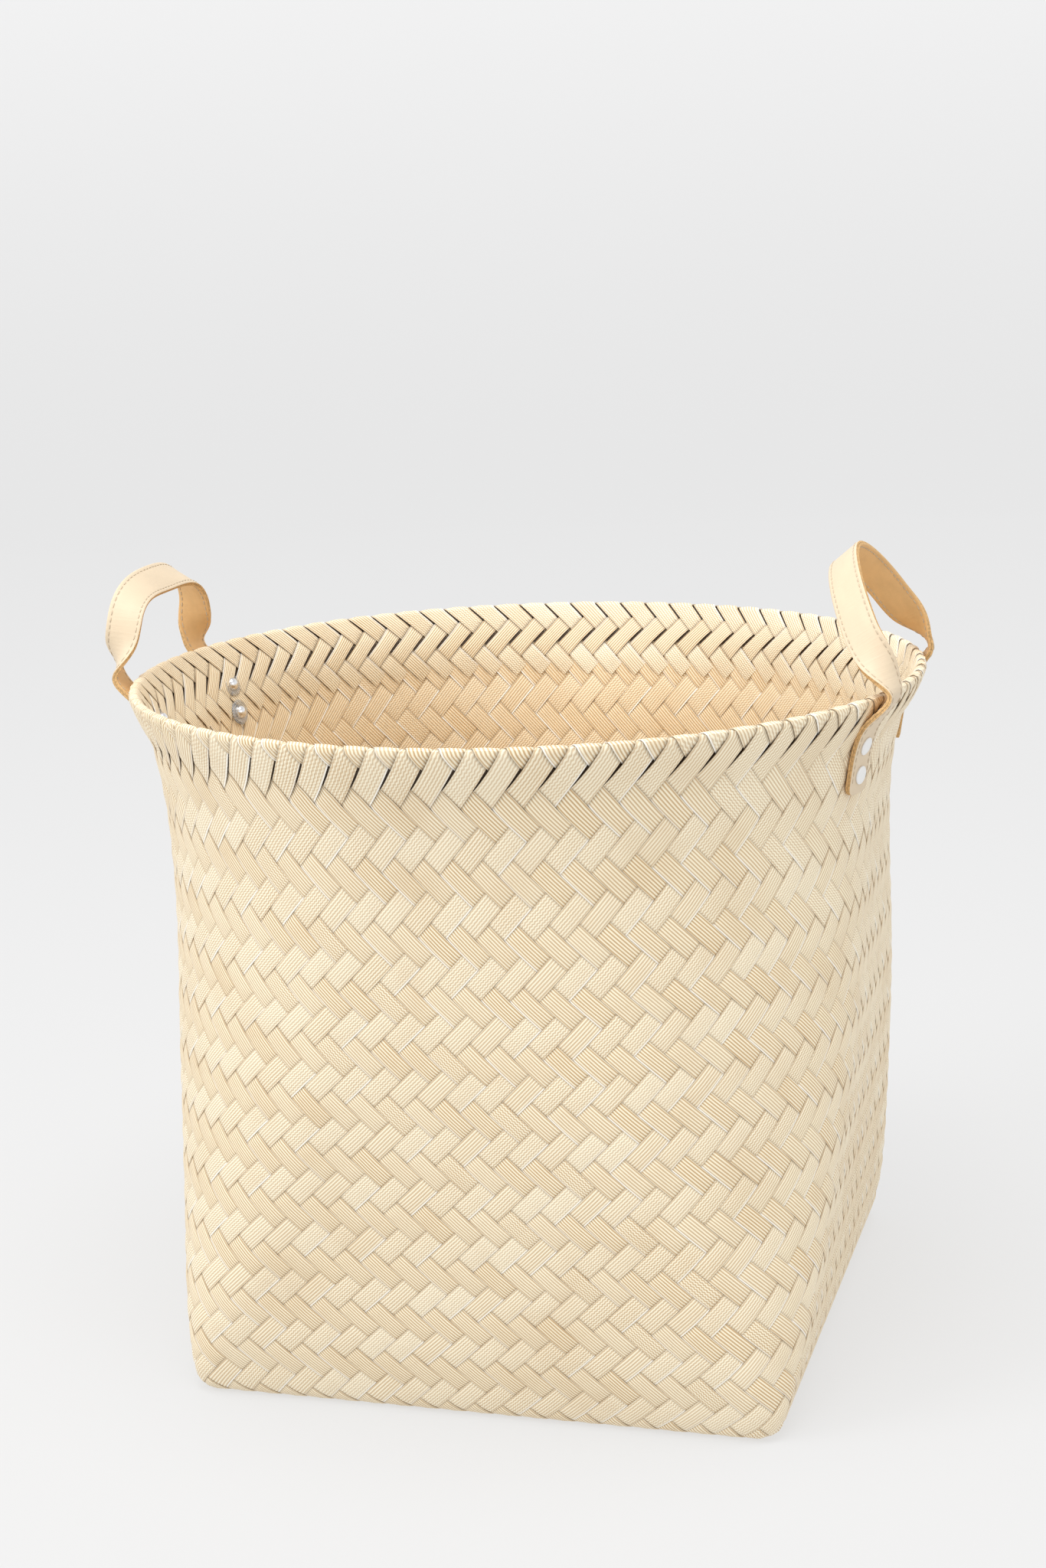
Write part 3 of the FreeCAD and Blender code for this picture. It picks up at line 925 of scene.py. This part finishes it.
def stitch_line(way, settings, hand, face):
    """Points and faces of one row of stitches along a strap."""
    inset = settings.width / 2 - settings.stitch_inset
    height = settings.layer_thickness + GLUE_GAP
    start = 0.006
    count = int((way.length - 2 * start) / settings.stitch_step)
    middles = start + (np.arange(count) + 0.5) * (way.length - 2 * start) / count
    offsets = np.array([-1.45, -1.15, -0.5, 0.5, 1.15, 1.45]) * MM
    rises = np.array([-0.34, -0.06, 0.07, 0.07, -0.06, -0.34]) * MM
    radii = np.array([0.10, 0.24, 0.28, 0.28, 0.24, 0.10]) * MM
    sectors = 8
    angles = np.arange(sectors) * 2 * math.pi / sectors
    stations = middles[:, None] + offsets
    point, width, normal = way.at(stations.ravel())
    point = point + width * (hand * inset)
    point += normal * face * (height + np.tile(rises, count))[:, None]
    radius = np.tile(radii, count)
    ring = (point[:, None] + radius[:, None, None] * (
        width[:, None] * np.cos(angles)[None, :, None]
        + normal[:, None] * (0.75 * np.sin(angles))[None, :, None]))
    points = ring.reshape(-1, 3)
    faces = []
    per = len(offsets) * sectors
    for k in range(count):
        faces += tube_faces(len(offsets), sectors, first=k * per)
    uv = np.stack([np.tile(np.arange(sectors) / sectors, count * len(offsets)),
                   np.repeat(np.tile(np.linspace(0, 1, len(offsets)), count), sectors)], -1)
    return points, faces, uv


def bend_strap(made, hand):
    """Bakes the placement of a strap piece into its points."""
    hand + "_handle"
    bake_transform(made)


def spun(name, rows, steps):
    """Rows of radius and height spun about Z, with the seam and the poles closed."""
    points = [(radius, 0, height) for radius, height in rows]
    made = add_mesh(name, points, [], [(k, k + 1) for k in range(len(points) - 1)])
    choose(made)
    bpy.ops.object.mode_set(mode="EDIT")
    bpy.ops.mesh.select_all(action="SELECT")
    bpy.ops.mesh.spin(steps=steps, angle=2 * math.pi, center=(0, 0, 0), axis=(0, 0, 1))
    bpy.ops.mesh.select_all(action="SELECT")
    bpy.ops.mesh.remove_doubles(threshold=1e-6)
    bpy.ops.object.mode_set(mode="OBJECT")
    return made


def turned_piece(name, rows):
    """A small closed shape turned about Z."""
    made = spun(name, rows, 48)
    face_outwards(made)
    smooth(made, 35)
    return made


def placed_copy(pattern, name, point, axis):
    """A copy of a turned piece, its own axis along axis and its zero at point."""
    made = pattern.copy()
    made.data = pattern.data.copy()
    made.name = name
    made.data.name = name
    bpy.context.scene.collection.objects.link(made)
    turn = Vector((0, 0, 1)).rotation_difference(Vector(axis)).to_matrix().to_4x4()
    made.data.transform(Matrix.Translation(Vector(point)) @ turn)
    return made


def arc_rows(centre, radius, start, end, steps, squash=1.0):
    """Rows of radius and height along an arc, angles in degrees from outwards."""
    rows = []
    for k in range(steps + 1):
        angle = math.radians(start + (end - start) * k / steps)
        rows.append((centre[0] + radius * math.cos(angle),
                     centre[1] + squash * radius * math.sin(angle)))
    return rows


# ---------------------------------------------------------------- operators

class BASKET_OT_weave(bpy.types.Operator):
    """Weave the base, wall and folded rim from strips, one piece for each corner"""

    bl_idname = "basket.weave"
    bl_label = "Weave the body"

    def execute(self, context):
        settings = context.scene.basket_body
        body = Body(settings)
        finish = strip_finish(settings)
        names = {"strips_front_right": 0.1, "strips_back_right": 0.1,
                 "strips_back_left": 0.9, "strips_front_left": 0.85}
        for corner, (name, crinkled) in enumerate(names.items()):
            rng = np.random.default_rng(40 + corner)
            points, faces, uvs, values = [], [], [], []
            used = 0
            for number in range(settings.strips_per_side):
                way = StripRoute(body, settings, number)
                part = strip_mesh_parts(way, rng, crinkled)
                points.append(part[0])
                faces += [tuple(i + used for i in face) for face in part[1]]
                uvs.append(part[2])
                values.append(part[3])
                used += len(part[0])
            angle = corner * math.pi / 2
            turn = np.array([[math.cos(angle), -math.sin(angle), 0],
                             [math.sin(angle), math.cos(angle), 0], [0, 0, 1]])
            points = np.vstack(points) @ turn.T
            points[:, 0] += mouth_drift(points[:, 2])
            made = add_mesh(name, points, faces)
            set_uv(made.data, "strip", np.vstack(uvs))
            for column, key in enumerate(STRIP_VALUES):
                attribute = made.data.attributes.new(key, "FLOAT", "POINT")
                attribute.data.foreach_set("value", np.vstack(values)[:, column].astype(np.float32))
            smooth(made, 40)
            made.data.materials.append(finish)
            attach(made, "basket")
            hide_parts(*BODY_NODES)
        return {"FINISHED"}


class BASKET_OT_straps(bpy.types.Operator):
    """Make both layers of each strap, end to end over the rim"""

    bl_idname = "basket.straps"
    bl_label = "Make the straps"

    def execute(self, context):
        settings = context.scene.basket_straps
        finishes = {
            "face": strap_finish("strap_face", settings.face,
                                 [c * 1.08 for c in settings.face], 0.42),
            "lining": strap_finish("strap_lining", settings.lining,
                                   [c * 0.8 for c in settings.lining], 0.5),
        }
        edge = edge_finish(settings.lining)
        for hand, handle in HANDLES.items():
            way = StrapLine(handle)
            for layer, finish in finishes.items():
                name = hand + "_strap_" + layer
                made, count = strap_layer(way, settings, name, layer)
                made.data.materials.append(finish)
                made.data.materials.append(edge)
                for polygon in made.data.polygons:
                    across = {i % count for i in polygon.vertices}
                    on_cut = across in ({count - 1, 0}, {count - 3, count - 2})
                    if on_cut or len(polygon.vertices) > 4:
                        polygon.material_index = 1
                bend_strap(made, hand)
                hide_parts(hand + "_loop_" + layer, hand + "_front_tail_" + layer,
                            hand + "_rear_tail_" + layer)
        return {"FINISHED"}


class BASKET_OT_stitches(bpy.types.Operator):
    """Sew two rows of stitches through each strap"""

    bl_idname = "basket.stitches"
    bl_label = "Stitch the straps"

    def execute(self, context):
        settings = context.scene.basket_straps
        finish = thread_finish(settings.thread)
        for hand, handle in HANDLES.items():
            way = StrapLine(handle)
            points, faces, uvs = [], [], []
            used = 0
            for edge in (-1, 1):
                for face in (-1, 1):
                    part = stitch_line(way, settings, edge, face)
                    points.append(part[0])
                    faces += [tuple(i + used for i in f) for f in part[1]]
                    uvs.append(part[2])
                    used += len(part[0])
            made = add_mesh(hand + "_strap_stitches", np.vstack(points), faces)
            set_uv(made.data, "thread", np.vstack(uvs))
            face_outwards(made)
            smooth(made, 60)
            made.data.materials.append(finish)
            bend_strap(made, hand)
        return {"FINISHED"}


class BASKET_OT_rivets(bpy.types.Operator):
    """Set the rivet heads, the clear washers and the domed caps"""

    bl_idname = "basket.rivets"
    bl_label = "Set the rivets"

    def patterns(self):
        """One of each piece, zero on the outside of the wall, +Z outwards."""
        seat = TAIL_GAP + STRAP_THICKNESS
        head = [(0.0, seat - HEAD_SINK), (0.0044, seat - HEAD_SINK)]
        head += arc_rows((0.0041, seat + 0.0006), 0.0005, -60, 70, 6)
        head += [(0.0030, seat + 0.00125), (0.0015, seat + 0.00138), (0.0, seat + 0.00142)]
        top = -(WALL_THICKNESS + WASHER_GAP)
        bottom = top - WASHER_THICKNESS
        washer = [(0.0016, top), (0.0067, top)]
        washer += arc_rows((0.0066, top - 0.0004), 0.0004, 60, -60, 6)
        washer += [(0.0058, bottom), (0.0044, bottom + 0.0003), (0.0016, bottom + 0.0003),
                   (0.0016, top)]
        cap = [(0.0, bottom + 0.0009), (0.0034, bottom + 0.0009), (0.0038, bottom + 0.0004)]
        cap += arc_rows((0.0, bottom), 0.0036, 0, -84, 12, 0.75)
        cap += [(0.0, bottom - 0.0027)]
        return {"rivet": (head, head_finish(), "rivet_head"),
                "washer": (washer, washer_finish(), "clear_washer"),
                "cap": (cap, cap_finish(), "rivet_cap")}

    def execute(self, context):
        made_patterns = {}
        for kind, (rows, finish, slot) in self.patterns().items():
            pattern = turned_piece("pattern_" + kind, rows)
            pattern.data.materials.append(finish)
            made_patterns[kind] = (pattern, slot)
        for hand, handle in HANDLES.items():
            way = StrapLine(handle)
            side = handle["side"]
            turn = np.array([side, side, 1])
            for end in (-1, 1):
                where = "front" if side * end < 0 else "rear"
                for level, z in RIVET_HEIGHTS.items():
                    point, normal, _ = way.wall_frame(end, z)
                    for kind, (pattern, slot) in made_patterns.items():
                        node = f"{hand}_{where}_{level}_{kind}"
                        made = placed_copy(pattern, node + "_set", point * turn, normal * turn)
                        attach(made, "basket")
                        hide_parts(node)
        for pattern, _ in made_patterns.values():
            bpy.data.objects.remove(pattern)
        return {"FINISHED"}


class BASKET_OT_stage(bpy.types.Operator):
    """Lay the floor and backdrop, hang the lights and set the camera"""

    bl_idname = "basket.stage"
    bl_label = "Lay the stage"

    def execute(self, context):
        settings = context.scene.basket_stage
        self.floor(settings)
        self.lights(settings)
        self.camera(context, settings)
        return {"FINISHED"}

    def floor(self, settings):
        """A round floor whose edge sweeps up into the backdrop."""
        reach = settings.reach
        rows = [(0.0, 0.0), (reach * 0.5, 0.0), (reach, 0.0)]
        rows += arc_rows((reach, 0.9), 0.9, -85, 0, 14)
        rows += [(reach + 0.9, 3.0)]
        made = spun("studio_floor", rows, 64)
        smooth(made, 60)
        made.data.materials.append(floor_finish(settings.tone, settings.glow))

    def lights(self, settings):
        """Large soft lights and an even surround."""
        world = bpy.data.worlds.new("studio")
        world.use_nodes = True
        background = world.node_tree.nodes["Background"]
        background.inputs["Color"].default_value = (1.0, 1.0, 1.0, 1.0)
        background.inputs["Strength"].default_value = settings.surround
        bpy.context.scene.world = world
        lamps = {
            "key": ((-1.7, -1.3, 1.9), 1.2, 24.0),
            "fill": ((1.9, -1.4, 1.3), 1.8, 4.0),
            "top": ((0.1, -0.5, 2.4), 1.5, 29.0),
        }
        for name, (place, size, power) in lamps.items():
            bpy.ops.object.light_add(type="AREA", location=place)
            lamp = bpy.context.object
            lamp.name = name + "_light"
            lamp.data.shape = "DISK"
            lamp.data.size = size
            lamp.data.energy = power
            aim = Vector((0, 0, 0.18)) - Vector(place)
            lamp.rotation_euler = aim.to_track_quat("-Z", "Y").to_euler()

    def camera(self, context, settings):
        """Camera looking a little down on the basket, slightly rolled."""
        data = bpy.data.cameras.new("camera")
        camera = bpy.data.objects.new("camera", data)
        context.scene.collection.objects.link(camera)
        forward = Vector((-0.2779, 0.9342, -0.2238)).normalized()
        right = Vector((0.9603, 0.2760, -0.0403))
        right = (right - forward * right.dot(forward)).normalized()
        up = right.cross(forward)
        rotation = Matrix((right, up, -forward)).transposed()
        camera.matrix_world = Matrix.Translation(Vector(settings.eye)) @ rotation.to_4x4()
        data.sensor_width = 36.0
        data.lens = settings.lens
        context.scene.camera = camera
        context.scene.view_settings.view_transform = "Standard"


class BASKET_PT_panel(bpy.types.Panel):
    """Sizes, colours and steps of the basket"""

    bl_idname = "BASKET_PT_panel"
    bl_label = "Plaited basket"
    bl_space_type = "VIEW_3D"
    bl_region_type = "UI"
    bl_category = "Basket"

    def draw(self, context):
        for group in ("basket_body", "basket_straps", "basket_stage"):
            box = self.layout.box()
            settings = getattr(context.scene, group)
            for key in settings.__annotations__:
                box.prop(settings, key)
        for operator in OPERATORS:
            self.layout.operator(operator.bl_idname)


GROUPS = {
    "basket_body": BasketSettings,
    "basket_straps": StrapSettings,
    "basket_stage": StageSettings,
}
OPERATORS = [BASKET_OT_weave, BASKET_OT_straps, BASKET_OT_stitches, BASKET_OT_rivets,
             BASKET_OT_stage]
CLASSES = [*GROUPS.values(), *OPERATORS, BASKET_PT_panel]


def register():
    for each in CLASSES:
        bpy.utils.register_class(each)
    for name, group in GROUPS.items():
        setattr(bpy.types.Scene, name, PointerProperty(type=group))


def unregister():
    for name in GROUPS:
        delattr(bpy.types.Scene, name)
    for each in reversed(CLASSES):
        bpy.utils.unregister_class(each)


def main():
    register()
    bpy.ops.basket.weave()
    bpy.ops.basket.straps()
    bpy.ops.basket.stitches()
    bpy.ops.basket.rivets()
    bpy.ops.basket.stage()


if __name__ == "__main__":
    main()
